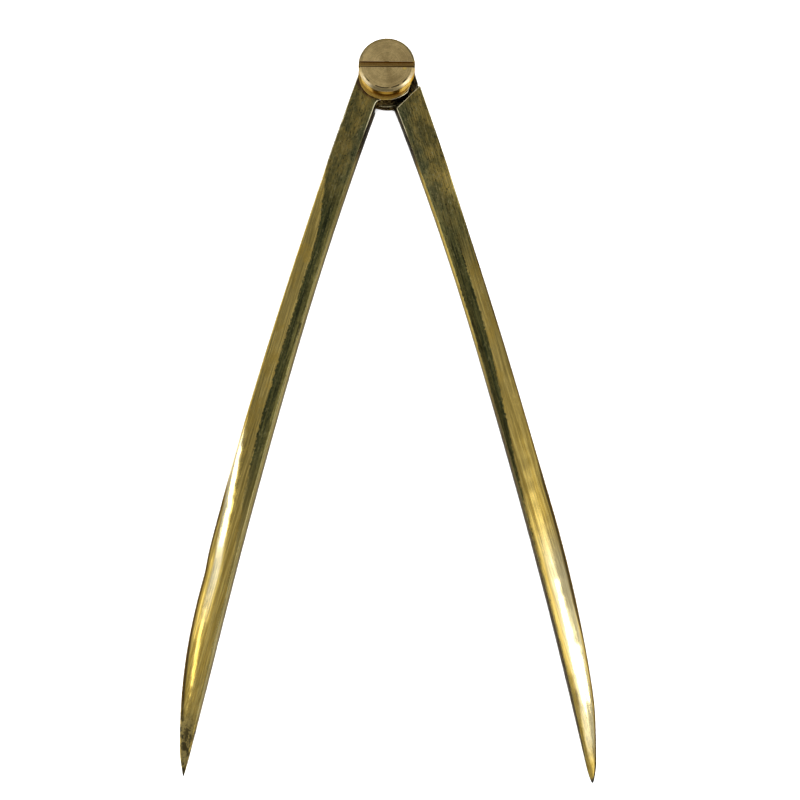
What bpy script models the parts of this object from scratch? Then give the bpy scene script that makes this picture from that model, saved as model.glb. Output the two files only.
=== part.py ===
"""Solid brass dividers: two bowed legs in a half-lap joint, a washer and a slotted pivot screw.

The tool lies flat on its back, in metres. +Z is the pivot axis and points out of the screw's
slotted head, the points are towards -Y, and the origin is where the pivot axis meets the plane
that the back faces lie on. The front lap belongs to the left leg (-X), the rear lap to the
right leg (+X), and the screw is threaded into the rear lap.
"""
import math

import bmesh
import bpy
from mathutils import Matrix

MM = 0.001

# ---- joint and legs ---------------------------------------------------------------------
OPENING = 30.66                     # angle between the two chords, pivot to point, in degrees
THICKNESS = 5.9 * MM
REAR_LAP_TOP = 2.4 * MM             # front face of the rear lap, above the back faces
FIT_GAP = 0.3 * MM                  # between faces that rest on each other
RUNNING_CLEARANCE = 0.1 * MM        # radial, round the screw

LAP_HALF_WIDTH = 7.3 * MM
SHOULDER_DISTANCE = 9.55 * MM       # pivot axis to the shoulder's face
SHOULDER_SLANT = 30.0               # the shoulder's normal from the chord, outwards, in degrees

# Both edges of a leg are measured outwards from its chord. They run from the root, beside the
# pivot, to the bow, where they are furthest out, and from there in to the point. The inner side
# heads for inner_end, the outer side falls away from fall_from (the fall is in metres per square
# metre) until it meets the point's own flatter curve, and the nose rounds both off to the tip.
INNER_BOW_AT = 83 * MM
OUTER_BOW_AT = 109 * MM
LEGS = {
    "leg_left": {"side": -1, "length": 194.2 * MM, "inner_root": -0.2 * MM, "inner_bow": 3.1 * MM,
                 "inner_end": 0.0, "inner_power": 2.0, "outer_root": 7.15 * MM, "outer_bow": 10.7 * MM,
                 "fall_from": 109 * MM, "fall": 0.55, "point_start": 1.01 * MM, "point_slope": 0.355,
                 "point_arc": 138 * MM, "nose": 6.0 * MM, "tip": 0.19 * MM, "lap_outer": 7.3 * MM,
                 "lap_radius": 8.6 * MM, "crotch_fillet": 1.8 * MM, "round_held_share": 0.56,
                 "round_held_to": 100 * MM, "round_full_at": 152 * MM},
    "leg_right": {"side": 1, "length": 195.7 * MM, "inner_root": -1.45 * MM, "inner_bow": 2.75 * MM,
                  "inner_end": -0.51 * MM, "inner_power": 2.75, "outer_root": 7.3 * MM,
                  "outer_bow": 10.1 * MM, "fall_from": 125 * MM, "fall": 1.38,
                  "point_start": 1.2 * MM, "point_slope": 0.3, "point_arc": 600 * MM,
                  "nose": 5.0 * MM, "tip": 0.1 * MM, "lap_outer": 7.65 * MM,
                  "lap_radius": 9.0 * MM, "crotch_fillet": 0.6 * MM, "round_held_share": 0.52,
                  "round_held_to": 70 * MM, "round_full_at": 134 * MM},
}

# ---- the outer side's rounding, and the point --------------------------------------------
EDGE_ROUND = 0.3 * MM               # on the square part of the leg
ROUND_FROM = 24 * MM                # where the rounding starts to widen
ROUND_HELD_FROM = 54 * MM           # and where it has its held share of the leg's width
ROUND_FULL_SHARE = 0.97
ROUND_SLOPE = 0.4                   # depth of the rounding over its width
ROUND_START = 35.0                  # its first tilt on the arc, which leaves a crease, degrees
ROUND_STEPS = 3
OUTER_LAND = 0.4 * MM               # least upright strip left between front and back rounding
POINT_RISE = 20 * MM                # radius of the curve that leads the point's edge off the body
POINT_BLEND = 0.4 * MM
POINT_THINNING = 34 * MM            # length over which the leg thins to its point
POINT_WIDTH = 0.35 * MM             # thickness left at the tip
POINT_BLUNT = 0.15 * MM             # how far short of a full nose the tip ends

# ---- pivot screw and washer --------------------------------------------------------------
HEAD_RADIUS = 7.75 * MM
HEAD_TOP = 9.3 * MM
HEAD_CHAMFER_WIDTH = 0.75 * MM
HEAD_CHAMFER_HEIGHT = 0.7 * MM
SLOT_WIDTH = 1.6 * MM
SLOT_DEPTH = 1.1 * MM
SLOT_TURN = -1.0                    # degrees about +Z, from the X axis
SHOULDER_RADIUS = 3.0 * MM
THREAD_RADIUS = 2.5 * MM
WASHER_RADIUS = 7.5 * MM
WASHER_HOLE_RADIUS = 4.4 * MM
WASHER_THICKNESS = 0.5 * MM
WASHER_SLIP = (-0.35 * MM, -1.2 * MM)       # a loose washer, slipped towards the left leg
TURNED_STEPS = 48

LAP_STEP = 7.5                      # degrees between stations round the lap
LEG_STEP = 5 * MM                   # between stations along the leg
POINT_STEP = 1.25 * MM


def clear_scene():
    for obj in list(bpy.data.objects):
        bpy.data.objects.remove(obj, do_unlink=True)


def brass(name, colour, roughness):
    material = bpy.data.materials.new(name)
    material.use_nodes = True
    shader = material.node_tree.nodes["Principled BSDF"]
    shader.inputs["Base Color"].default_value = (*colour, 1)
    shader.inputs["Metallic"].default_value = 1
    shader.inputs["Roughness"].default_value = roughness
    return material


def make_object(name, bm, material):
    """Turn a finished bmesh into a smooth-shaded object that keeps its sharp edges."""
    bmesh.ops.recalc_face_normals(bm, faces=bm.faces)
    mesh = bpy.data.meshes.new(name)
    bm.to_mesh(mesh)
    bm.free()
    mesh.shade_smooth()
    mesh.set_sharp_from_angle(angle=math.radians(25))
    mesh.materials.append(material)
    obj = bpy.data.objects.new(name, mesh)
    bpy.context.collection.objects.link(obj)
    return obj


def cut(obj, bm, name):
    """Subtract a closed bmesh from an object. The cutter moves with the object."""
    bmesh.ops.recalc_face_normals(bm, faces=bm.faces)
    mesh = bpy.data.meshes.new(name)
    bm.to_mesh(mesh)
    bm.free()
    cutter = bpy.data.objects.new(name, mesh)
    bpy.context.collection.objects.link(cutter)
    cutter.parent = obj
    cutter.hide_render = True
    cutter.display_type = "WIRE"
    modifier = obj.modifiers.new(name, "BOOLEAN")
    modifier.operation = "DIFFERENCE"
    modifier.solver = "EXACT"
    modifier.object = cutter


def box(low, high):
    """A bmesh box between two corners."""
    bm = bmesh.new()
    size = [b - a for a, b in zip(low, high)]
    middle = [(a + b) / 2 for a, b in zip(low, high)]
    bmesh.ops.create_cube(bm, size=1, matrix=Matrix.Translation(middle) @ Matrix.Diagonal((*size, 1)))
    return bm


def turned(profile):
    """Turn an open (radius, height) profile about Z, closing it on the axis where it starts there."""
    bm = bmesh.new()
    rings = []
    for radius, height in profile:
        if radius == 0:
            rings.append([bm.verts.new((0, 0, height))])
            continue
        angles = [math.tau * k / TURNED_STEPS for k in range(TURNED_STEPS)]
        rings.append([bm.verts.new((radius * math.cos(a), radius * math.sin(a), height)) for a in angles])
    for first, second in zip(rings, rings[1:]):
        for k in range(TURNED_STEPS):
            after = (k + 1) % TURNED_STEPS
            corners = [first[k % len(first)], first[after % len(first)],
                       second[after % len(second)], second[k % len(second)]]
            bm.faces.new(list(dict.fromkeys(corners)))
    return bm


# ---- the leg's plan ----------------------------------------------------------------------

def bow(u, root, top, peak):
    """A parabola from root, at u = 0, that is level with top at u = peak."""
    return top - (top - root) * (1 - u / peak) ** 2


def nose(leg, u, w):
    """Draw an edge in towards the tip over the last few millimetres, as on an ellipse."""
    left = min(leg["length"] - u + POINT_BLUNT, leg["nose"])
    share = math.sqrt(1 - (1 - left / leg["nose"]) ** 2)
    return leg["tip"] + (w - leg["tip"]) * share


def inner_edge(leg, u):
    if u < INNER_BOW_AT:
        return bow(u, leg["inner_root"], leg["inner_bow"], INNER_BOW_AT)
    past = (u - INNER_BOW_AT) / (leg["length"] - INNER_BOW_AT)
    return nose(leg, u, leg["inner_bow"] + (leg["inner_end"] - leg["inner_bow"]) * past ** leg["inner_power"])


def outer_edge(leg, u):
    if u < OUTER_BOW_AT:
        return max(bow(u, leg["outer_root"], leg["outer_bow"], OUTER_BOW_AT), leg["lap_outer"])
    body = leg["outer_bow"] - leg["fall"] * max(u - leg["fall_from"], 0) ** 2
    left = leg["length"] - u
    near = min(left, leg["point_slope"] * leg["point_arc"])
    point = leg["point_start"] + leg["point_slope"] * near - near ** 2 / (2 * leg["point_arc"])
    point += (left - near) ** 2 / (2 * POINT_RISE)
    return nose(leg, u, (body + point - math.hypot(body - point, POINT_BLEND)) / 2)


def stations(leg):
    """(u, inner, outer) from the lap's far end to the point. Inner is negative past the chord."""
    radius = leg["lap_radius"]
    fillet = leg["crotch_fillet"]
    rows = []
    steps = int(90 / LAP_STEP)
    for k in range(steps):
        turn = math.radians(LAP_STEP * (k + 0.5))
        half = LAP_HALF_WIDTH * math.sin(turn)
        rows.append((-LAP_HALF_WIDTH * math.cos(turn), -half, leg["lap_outer"] * math.sin(turn)))
    for k in range(steps):
        turn = math.radians(LAP_STEP * k)
        u = radius * math.sin(turn)
        inner = -min(radius * math.cos(turn), LAP_HALF_WIDTH)
        if inner < inner_edge(leg, u) - fillet:
            rows.append((u, inner, outer_edge(leg, u)))
    fillet_steps = 4
    for k in range(fillet_steps + 1):
        turn = math.pi / 2 * k / fillet_steps
        u = radius + fillet * (1 - math.cos(turn))
        inner = inner_edge(leg, u) - fillet * (1 - math.sin(turn))
        rows.append((u, inner, outer_edge(leg, u)))
    straight = leg["length"] - POINT_THINNING - u
    count = round(straight / LEG_STEP)
    along = [u + straight * (k + 1) / count for k in range(count)]
    count = round(POINT_THINNING / POINT_STEP)
    along += [leg["length"] - POINT_THINNING * (1 - (k + 1) / count) for k in range(count)]
    rows += [(u, inner_edge(leg, u), outer_edge(leg, u)) for u in along]
    return rows


# ---- the leg's section -------------------------------------------------------------------

def ramp(u, start, end):
    return min(max((u - start) / (end - start), 0), 1)


def rounding(leg, u, width):
    """Width of the rounding that eats the front and back faces from the outer side."""
    first = ramp(u, ROUND_FROM, ROUND_HELD_FROM)
    second = ramp(u, leg["round_held_to"], leg["round_full_at"])
    held = leg["round_held_share"]
    share = held * first + (ROUND_FULL_SHARE - held) * second
    return max(width * share, EDGE_ROUND)


def half_thickness(leg, u):
    left = leg["length"] - u
    if left > POINT_THINNING:
        return THICKNESS / 2
    taper = 1 - (1 - left / POINT_THINNING) ** 2
    return POINT_WIDTH / 2 + (THICKNESS - POINT_WIDTH) / 2 * taper


def section(leg, u, inner, outer):
    """(outwards, height) points round the section, from the inner side's back edge."""
    half = half_thickness(leg, u)
    middle = THICKNESS / 2
    wide = rounding(leg, u, outer - inner)
    deep = min(wide * ROUND_SLOPE, half * (1 - OUTER_LAND / THICKNESS))
    start = math.radians(ROUND_START)
    front = []
    for k in range(ROUND_STEPS + 1):
        turn = start + (math.pi / 2 - start) * k / ROUND_STEPS
        across = (math.sin(turn) - math.sin(start)) / (1 - math.sin(start))
        down = 1 - math.cos(turn) / math.cos(start)
        front.append((outer - wide * (1 - across), half - deep * down))
    back = [(w, -z) for w, z in reversed(front)]
    ring = [(inner, -half), (inner, half)] + front + back
    return [(w, middle + z) for w, z in ring]


def leg_blank(leg):
    """The whole leg at full thickness, its chord along -Y, as one closed loft."""
    bm = bmesh.new()
    rings = []
    for u, inner, outer in stations(leg):
        points = section(leg, u, inner, outer)
        rings.append([bm.verts.new((leg["side"] * w, -u, z)) for w, z in points])
    for first, second in zip(rings, rings[1:]):
        for k in range(len(first)):
            after = (k + 1) % len(first)
            bm.faces.new((first[k], first[after], second[after], second[k]))
    bm.faces.new(rings[0])
    bm.faces.new(rings[-1])
    return bm


def lap_recess(leg, low, high):
    """What the half lap takes off: everything on the pivot's side of the slanted shoulder."""
    reach = 30 * MM
    bm = box((-reach, -SHOULDER_DISTANCE, low), (reach, reach, high))
    turn = Matrix.Rotation(math.radians(leg["side"] * SHOULDER_SLANT), 3, "Z")
    bmesh.ops.rotate(bm, verts=bm.verts, matrix=turn)
    return bm


def pivot_hole(radius):
    margin = 1 * MM
    top = THICKNESS + margin
    return turned([(0, top), (radius, top), (radius, -margin), (0, -margin)])


def make_leg(name, material):
    leg = LEGS[name]
    obj = make_object(name, leg_blank(leg), material)
    obj.rotation_euler.z = math.radians(leg["side"] * OPENING / 2)
    margin = 1 * MM
    if leg["side"] < 0:
        cut(obj, lap_recess(leg, -margin, REAR_LAP_TOP + FIT_GAP), name + "_recess")
        cut(obj, pivot_hole(SHOULDER_RADIUS + RUNNING_CLEARANCE), name + "_hole")
    else:
        cut(obj, lap_recess(leg, REAR_LAP_TOP, THICKNESS + margin), name + "_recess")
        cut(obj, pivot_hole(THREAD_RADIUS + RUNNING_CLEARANCE), name + "_hole")


def make_washer(material):
    hole = WASHER_HOLE_RADIUS
    high = WASHER_THICKNESS
    bm = turned([(hole, high), (WASHER_RADIUS, high), (WASHER_RADIUS, 0), (hole, 0), (hole, high)])
    bmesh.ops.remove_doubles(bm, verts=bm.verts, dist=0.01 * MM)
    washer = make_object("head_washer", bm, material)
    washer.location = (*WASHER_SLIP, THICKNESS + FIT_GAP)


def make_screw(material):
    underside = THICKNESS + WASHER_THICKNESS + 2 * FIT_GAP
    shoulder_end = REAR_LAP_TOP + FIT_GAP
    profile = [
        (0, HEAD_TOP),
        (HEAD_RADIUS - HEAD_CHAMFER_WIDTH, HEAD_TOP),
        (HEAD_RADIUS, HEAD_TOP - HEAD_CHAMFER_HEIGHT),
        (HEAD_RADIUS, underside),
        (SHOULDER_RADIUS, underside),
        (SHOULDER_RADIUS, shoulder_end),
        (THREAD_RADIUS, shoulder_end),
        (THREAD_RADIUS, 0),
        (0, 0),
    ]
    obj = make_object("pivot_screw", turned(profile), material)
    reach = 10 * MM
    slot = box((-reach, -SLOT_WIDTH / 2, HEAD_TOP - SLOT_DEPTH), (reach, SLOT_WIDTH / 2, HEAD_TOP + reach))
    turn = Matrix.Rotation(math.radians(SLOT_TURN), 3, "Z")
    bmesh.ops.rotate(slot, verts=slot.verts, matrix=turn)
    cut(obj, slot, "screwdriver_slot")


def main():
    clear_scene()
    for name in LEGS:
        make_leg(name, brass(name, (0.34, 0.29, 0.10), 0.35))
    make_washer(brass("head_washer", (0.62, 0.44, 0.14), 0.3))
    make_screw(brass("pivot_screw", (0.42, 0.34, 0.17), 0.4))


main()
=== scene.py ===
"""The looks of the solid brass dividers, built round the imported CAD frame.

The tool lies on its back with its points towards -Y. Each leg has its own frame: u runs from the
pivot to the point, w outwards from that line, z up from the back faces. Sizes are written in
millimetres and angles in degrees, and MM turns a size into the frame's metres. The stage, the
lights and the camera are placed in metres.
"""

import math
from types import SimpleNamespace

import bmesh
import bpy
from mathutils import Matrix, Vector, noise


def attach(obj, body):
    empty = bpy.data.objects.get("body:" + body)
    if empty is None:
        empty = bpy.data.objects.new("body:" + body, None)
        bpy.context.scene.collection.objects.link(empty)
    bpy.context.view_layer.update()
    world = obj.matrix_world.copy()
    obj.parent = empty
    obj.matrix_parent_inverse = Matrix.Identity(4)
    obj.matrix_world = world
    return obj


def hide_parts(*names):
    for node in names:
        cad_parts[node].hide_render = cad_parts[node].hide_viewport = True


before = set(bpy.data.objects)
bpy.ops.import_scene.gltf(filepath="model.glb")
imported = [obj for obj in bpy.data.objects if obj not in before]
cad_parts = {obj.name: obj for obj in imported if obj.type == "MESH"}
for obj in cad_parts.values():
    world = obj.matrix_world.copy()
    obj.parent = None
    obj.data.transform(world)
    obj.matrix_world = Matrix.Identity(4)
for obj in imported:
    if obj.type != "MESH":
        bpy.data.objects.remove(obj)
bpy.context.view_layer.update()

MM = 0.001

# ---- sizes shared with the CAD part --------------------------------------------------------
OPENING = 30.66                 # between the legs, at rest
THICKNESS = 5.9
REAR_LAP_TOP = 2.4
LAP_HALF_WIDTH = 7.3
SHOULDER_DISTANCE = 9.55        # from the pivot's axis, square to the shoulder
SHOULDER_SLANT = 30.0
INNER_BOW_AT = 83.0             # where each edge stands furthest out
OUTER_BOW_AT = 109.0
POINT_RISE = 20.0
POINT_BLEND = 0.4
POINT_THINNING = 34.0
POINT_THICKNESS = 0.35
POINT_BLUNT = 0.15
SHANK_RADIUS = 3.0
THREAD_RADIUS = 2.5
HOLE_CLEARANCE = 0.1
HEAD_RADIUS = 7.75
HEAD_TOP = 9.3
SLOT_WIDTH = 1.6
SLOT_DEPTH = 1.1
SLOT_TURN = -1.0
WASHER_RADIUS = 7.5
WASHER_HOLE_RADIUS = 4.4
WASHER_SLIP = (-0.35, -1.2)

# Stretches for a mark that one leg doesn't have: under the head, and past the tip.
UNDER_HEAD = (0.0, 1.0, 2.0, 3.0)
PAST_TIP = (304.5, 305.5)

# For each leg its outline, the rounding of its outer side, and its finish. In the finish, a pair
# of places is where a mark starts and is full, and four are its start, rise, fall and end.
# Scratched is how dark and how pale the scratches near the joint get.
LEGS = {
    "left": {
        "side": -1, "length": 194.2, "lap_outer": 7.3, "lap_radius": 8.6, "crotch_fillet": 1.8,
        "inner_root": -0.2, "inner_bow": 3.1, "inner_end": 0.0, "inner_power": 2.0,
        "outer_root": 7.15, "outer_bow": 10.7, "fall_from": 109.0, "fall": 0.00055,
        "point_start": 1.01, "point_slope": 0.355, "point_arc": 138.0, "nose": 6.0, "tip": 0.19,

        "round_held_share": 0.58, "round_held_to": 100.0, "round_full_at": 152.0,

        "joint_until": (29.0, 51.0), "umber_from": (0.50, 0.88), "patchy": 0.62,
        "scratched": (0.72, 1.30), "paler_from": (24.0, 34.0), "paler_by": 1.12,
        "dark_until": (108.0, 130.0), "flat_relief": 1.5, "hem": 0.1,
        "bevel_from": (30.0, 46.0), "polished": (84.0, 102.0),
        # painted highlight on the round: its strength, and where it lies along and across
        "highlight": 0.8, "highlight_along": (102.0, 112.0, 144.0, 160.0),
        "highlight_across": (0.66, 0.78, 0.94, 1.02), "highlight_drift": 0.012,
        "rim_from": (112.0, 128.0), "rim_width": 0.85, "rim_broad": (150.0, 172.0, 190.0, 196.0),
        "edge_shine": 0.2, "edge_worn": (12.0, 16.0, 34.0, 40.0), "inner_gold": UNDER_HEAD,
        "inner_high": (0.38, 0.335, 0.19), "inner_low": (0.42, 0.37, 0.22),
        "tip_stain": (180.5, 187.5),
    },
    "right": {
        "side": 1, "length": 195.7, "lap_outer": 7.65, "lap_radius": 9.0, "crotch_fillet": 0.6,
        "inner_root": -1.45, "inner_bow": 2.75, "inner_end": -0.51, "inner_power": 2.75,
        "outer_root": 7.3, "outer_bow": 10.1, "fall_from": 125.0, "fall": 0.00138,
        "point_start": 1.2, "point_slope": 0.3, "point_arc": 600.0, "nose": 5.0, "tip": 0.1,

        "round_held_share": 0.52, "round_held_to": 70.0, "round_full_at": 134.0,

        "joint_until": (39.0, 63.0), "umber_from": (0.45, 1.1), "patchy": 0.42,
        "scratched": (0.58, 1.48), "paler_from": (22.0, 34.0), "paler_by": 1.30,
        "dark_until": (126.0, 148.0), "flat_relief": 1.35, "hem": 0.62,
        "bevel_from": (56.0, 76.0), "polished": (76.0, 140.0),
        # painted highlight on the round: its strength, and where it lies along and across
        "highlight": 0.7, "highlight_along": (126.0, 146.0, 184.0, 192.0),
        "highlight_across": (0.12, 0.34, 0.80, 0.94), "highlight_drift": 0.0,
        "rim_from": (34.0, 60.0), "rim_width": 0.65, "rim_broad": (112.0, 122.0, 150.0, 164.0),
        "edge_shine": 0.25, "edge_worn": UNDER_HEAD, "inner_gold": (24.0, 34.0, 68.0, 106.0),
        "inner_high": (0.15, 0.125, 0.065), "inner_low": (0.09, 0.07, 0.03),
        "tip_stain": PAST_TIP,
    },
}

# ---- finish of the legs' skin --------------------------------------------------------------
LAP_GAP = 0.04
EDGE_ROUND = 0.3
INNER_FILLET = 0.3
ROUND_FROM = 24.0
ROUND_HELD_FROM = 54.0
ROUND_FULL_SHARE = 0.97         # of the leg's width
OUTER_LAND = 0.5                # the upright strip left between the two roundings
UPPER_TILTS = (9.0, 15.0)       # of the rounding, at the crease and near the outer side
LOWER_TILTS = (3.0, 34.0)
UPPER_EDGE_RADIUS = 0.9
LOWER_EDGE_RADIUS = 1.3
ROUND_MOST = 0.985              # of the leg's width
EDGE_RADIUS_MOST = 0.8          # of the rounding's width
ROUND_FLAT_LEAST = 0.15         # of the rounding's width
TILTS_CHANGE_SOONER = 15.0      # than the rounding starts to widen again
TILTS_FULL_LATER = 5.0
CREASE_WOBBLE = 0.16
WOBBLE_RATE = 0.35
WOBBLE_OFFSET = 7.0             # sets the two legs' wobbles apart
ROUND_STEPS = 16
EDGE_STEPS = 8
FLAT_STEPS = 8
FILLET_STEPS = 4
LAP_ROWS = 40
CROTCH_ROWS = 12
ROW_SPACING = 0.8
POINT_ROW_SPACING = 0.25
SAME_PLACE = 0.002              # vertices nearer than this are merged
SHARP_ANGLE = 28.0


def bow(u, root, top, peak):
    return top - (top - root) * (1 - u / peak) ** 2


def nose(leg, u, w):
    """Draw an edge in towards the tip over the last few millimetres, as on an ellipse."""
    left = min(leg["length"] - u + POINT_BLUNT, leg["nose"])
    share = math.sqrt(1 - (1 - left / leg["nose"]) ** 2)
    return leg["tip"] + (w - leg["tip"]) * share


def inner_edge(leg, u):
    if u < INNER_BOW_AT:
        return bow(u, leg["inner_root"], leg["inner_bow"], INNER_BOW_AT)
    past = (u - INNER_BOW_AT) / (leg["length"] - INNER_BOW_AT)
    fall = (leg["inner_end"] - leg["inner_bow"]) * past ** leg["inner_power"]
    return nose(leg, u, leg["inner_bow"] + fall)


def outer_edge(leg, u):
    if u < OUTER_BOW_AT:
        return max(bow(u, leg["outer_root"], leg["outer_bow"], OUTER_BOW_AT), leg["lap_outer"])
    body = leg["outer_bow"] - leg["fall"] * max(u - leg["fall_from"], 0) ** 2
    left = leg["length"] - u
    near = min(left, leg["point_slope"] * leg["point_arc"])
    point = leg["point_start"] + leg["point_slope"] * near - near ** 2 / (2 * leg["point_arc"])
    point += (left - near) ** 2 / (2 * POINT_RISE)
    return nose(leg, u, (body + point - math.hypot(body - point, POINT_BLEND)) / 2)


def edges_at(leg, u):
    """(inner, outer) edges of the blank at any distance from the pivot, the lap's arcs included."""
    radius = leg["lap_radius"]
    fillet = leg["crotch_fillet"]
    if u < 0:
        share = math.sqrt(max(1 - (u / LAP_HALF_WIDTH) ** 2, 0))
        return -LAP_HALF_WIDTH * share, leg["lap_outer"] * share
    inner = inner_edge(leg, u)
    if u < radius:
        inner = min(-min(math.sqrt(radius ** 2 - u ** 2), LAP_HALF_WIDTH), inner - fillet)
    elif u < radius + fillet:
        lift = math.acos(1 - (u - radius) / fillet)
        inner -= fillet * (1 - math.sin(lift))
    return inner, outer_edge(leg, u)


def stations(leg):
    """Where the leg's sections stand along u: closest on the lap's arcs and at the point."""
    rows = []
    for k in range(LAP_ROWS):
        turn = math.pi / 2 * (k + 0.5) / LAP_ROWS
        rows.append(-LAP_HALF_WIDTH * math.cos(turn))
    radius = leg["lap_radius"]
    for k in range(LAP_ROWS):
        rows.append(radius * math.sin(math.pi / 2 * k / LAP_ROWS))
    fillet = leg["crotch_fillet"]
    for k in range(CROTCH_ROWS + 1):
        rows.append(radius + fillet * (1 - math.cos(math.pi / 2 * k / CROTCH_ROWS)))
    start = rows[-1]
    straight = leg["length"] - POINT_THINNING - start
    count = round(straight / ROW_SPACING)
    rows += [start + straight * (k + 1) / count for k in range(count)]
    count = round(POINT_THINNING / POINT_ROW_SPACING)
    rows += [leg["length"] - POINT_THINNING * (1 - (k + 1) / count) for k in range(count)]
    return rows


def ramp(u, start, end):
    return min(max((u - start) / (end - start), 0.0), 1.0)


def smooth(t):
    return t * t * (3 - 2 * t)


def blend(a, b, t):
    return a + (b - a) * t


def rounding(leg, u, width):
    """How far the rounding reaches in from the outer side, with a slightly uneven crease."""
    first = smooth(ramp(u, ROUND_FROM, ROUND_HELD_FROM))
    second = smooth(ramp(u, leg["round_held_to"], leg["round_full_at"]))
    held = leg["round_held_share"]
    share = held * first + (ROUND_FULL_SHARE - held) * second
    wobble = noise.noise(Vector((u * WOBBLE_RATE, leg["side"] * WOBBLE_OFFSET, 0.0)))
    return max(width * share + wobble * CREASE_WOBBLE * first, EDGE_ROUND)


def half_thickness(leg, u):
    left = leg["length"] - u
    if left > POINT_THINNING:
        return THICKNESS / 2
    taper = 1 - (1 - left / POINT_THINNING) ** 2
    return POINT_THICKNESS / 2 + (THICKNESS - POINT_THICKNESS) / 2 * taper


def round_profile(leg, u, wide, half):
    """(across, depth) points of the rounding, from the crease to the outer side."""
    full = smooth(ramp(u, leg["round_held_to"] - TILTS_CHANGE_SOONER,
                       leg["round_full_at"] + TILTS_FULL_LATER))
    first = math.radians(blend(UPPER_TILTS[0], LOWER_TILTS[0], full))
    last = math.radians(blend(UPPER_TILTS[1], LOWER_TILTS[1], full))
    radius = min(blend(UPPER_EDGE_RADIUS, LOWER_EDGE_RADIUS, full), wide * EDGE_RADIUS_MOST)
    flat = max(wide - radius * (1 - math.sin(last)), wide * ROUND_FLAT_LEAST)
    points = [(0.0, 0.0)]
    for k in range(ROUND_STEPS):
        tilt = first + (last - first) * (k + 0.5) / ROUND_STEPS
        across, depth = points[-1]
        points.append((across + flat / ROUND_STEPS, depth + flat / ROUND_STEPS * math.tan(tilt)))
    across, depth = points[-1]
    reach = (wide - across) / (1 - math.sin(last))
    for k in range(EDGE_STEPS):
        turn = last + (math.pi / 2 - last) * (k + 1) / EDGE_STEPS
        points.append((across + reach * (math.sin(turn) - math.sin(last)),
                       depth + reach * (math.cos(last) - math.cos(turn))))
    limit = half * (1 - OUTER_LAND / THICKNESS)
    scale = min(1.0, limit / points[-1][1])
    return [(a, d * scale) for a, d in points]


def section(leg, u):
    """Closed ring of (w, z) points round the leg's section at u."""
    inner, outer = edges_at(leg, u)
    half = half_thickness(leg, u)
    width = outer - inner
    wide = min(rounding(leg, u, width), width * ROUND_MOST)
    fillet = min(INNER_FILLET, half * 0.4, (width - wide) * 0.8)
    front = []
    for k in range(FILLET_STEPS + 1):
        turn = math.pi - math.pi / 2 * k / FILLET_STEPS
        front.append((inner + fillet + fillet * math.cos(turn),
                      half - fillet + fillet * math.sin(turn)))
    crease = outer - wide
    for k in range(1, FLAT_STEPS):
        front.append((blend(inner + fillet, crease, k / FLAT_STEPS), half))
    front += [(crease + a, half - d) for a, d in round_profile(leg, u, wide, half)]
    back = [(w, -z) for w, z in reversed(front)]
    return [(w, THICKNESS / 2 + z) for w, z in front + back]


def leg_blank(leg):
    """The leg with its point towards -Y and its pivot at the origin, before the joint is cut."""
    bm = bmesh.new()
    rings = []
    for u in stations(leg):
        ring = section(leg, u)
        rings.append([bm.verts.new((leg["side"] * w * MM, -u * MM, z * MM)) for w, z in ring])
    for first, second in zip(rings, rings[1:]):
        for k in range(len(first)):
            after = (k + 1) % len(first)
            bm.faces.new((first[k], first[after], second[after], second[k]))
    bm.faces.new(rings[0])
    bm.faces.new(rings[-1])
    bmesh.ops.remove_doubles(bm, verts=bm.verts, dist=SAME_PLACE * MM)
    return bm


# ---- mesh helpers --------------------------------------------------------------------------

def new_object(name, bm):
    bmesh.ops.recalc_face_normals(bm, faces=bm.faces)
    mesh = bpy.data.meshes.new(name)
    bm.to_mesh(mesh)
    bm.free()
    obj = bpy.data.objects.new(name, mesh)
    bpy.context.collection.objects.link(obj)
    return obj


def subtract(obj, bm):
    """Take a closed bmesh off an object and keep the result as its mesh."""
    cutter = new_object("cutter", bm)
    modifier = obj.modifiers.new("cut", "BOOLEAN")
    modifier.operation = "DIFFERENCE"
    modifier.solver = "EXACT"
    modifier.object = cutter
    bpy.context.view_layer.update()
    evaluated = obj.evaluated_get(bpy.context.evaluated_depsgraph_get())
    mesh = bpy.data.meshes.new_from_object(evaluated)
    obj.modifiers.clear()
    old = obj.data
    obj.data = mesh
    bpy.data.meshes.remove(old)
    bpy.data.objects.remove(cutter, do_unlink=True)


def prism(outline, reach):
    """Extrude a closed (y, z) outline along X, by reach to both sides."""
    bm = bmesh.new()
    ends = []
    for x in (-reach, reach):
        ends.append([bm.verts.new((x * MM, y * MM, z * MM)) for y, z in outline])
    bm.faces.new(ends[0])
    bm.faces.new(ends[1])
    for k in range(len(outline)):
        after = (k + 1) % len(outline)
        bm.faces.new((ends[0][k], ends[0][after], ends[1][after], ends[1][k]))
    return bm


def turned(profile, steps=192, closed=False):
    """Turn a (radius, height) profile about Z. A closed profile makes a ring."""
    bm = bmesh.new()
    rings = []
    for radius, height in profile:
        if radius == 0:
            rings.append([bm.verts.new((0, 0, height * MM))])
            continue
        angles = [math.tau * k / steps for k in range(steps)]
        rings.append([bm.verts.new((radius * math.cos(a) * MM, radius * math.sin(a) * MM,
                                    height * MM)) for a in angles])
    pairs = list(zip(rings, rings[1:]))
    if closed:
        pairs.append((rings[-1], rings[0]))
    for first, second in pairs:
        for k in range(steps):
            after = (k + 1) % steps
            corners = [first[k % len(first)], first[after % len(first)],
                       second[after % len(second)], second[k % len(second)]]
            bm.faces.new(list(dict.fromkeys(corners)))
    return bm


def turn_z(bm, degrees):
    bmesh.ops.rotate(bm, verts=bm.verts, matrix=Matrix.Rotation(math.radians(degrees), 3, "Z"))
    return bm


def shade(mesh):
    mesh.shade_smooth()
    mesh.set_sharp_from_angle(angle=math.radians(SHARP_ANGLE))


def store(mesh, name, values):
    """Keep a vector for each vertex, for the material to read."""
    attribute = mesh.attributes.new(name, "FLOAT_VECTOR", "POINT")
    attribute.data.foreach_set("vector", [x for value in values for x in value])


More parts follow.
